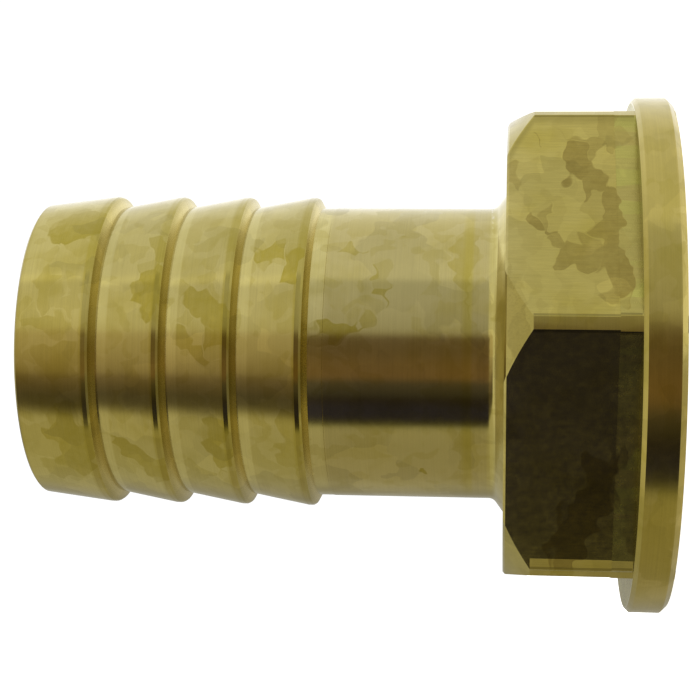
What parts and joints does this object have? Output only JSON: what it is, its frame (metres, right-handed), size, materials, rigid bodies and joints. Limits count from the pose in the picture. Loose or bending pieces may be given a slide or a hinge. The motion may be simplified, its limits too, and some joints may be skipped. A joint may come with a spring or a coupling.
{
  "type": "hose tail",
  "caption": "Flanged hexagon hose tail that joins a female pipe thread to a barbed spigot for a hose.",
  "frame": {"origin": "centre of the flange's end face, where the pipe thread enters", "axes": "+Z along the axis, from the thread end towards the barbed tip; two of the hexagon's corners lie on the Y axis"},
  "size_m": [0.0454, 0.0454, 0.0553],
  "materials": {
    "brass": "turned and milled brass, dulled by handling"
  },
  "bodies": {
    "root": {"hose_tail": "brass"}
  },
  "joints": []
}
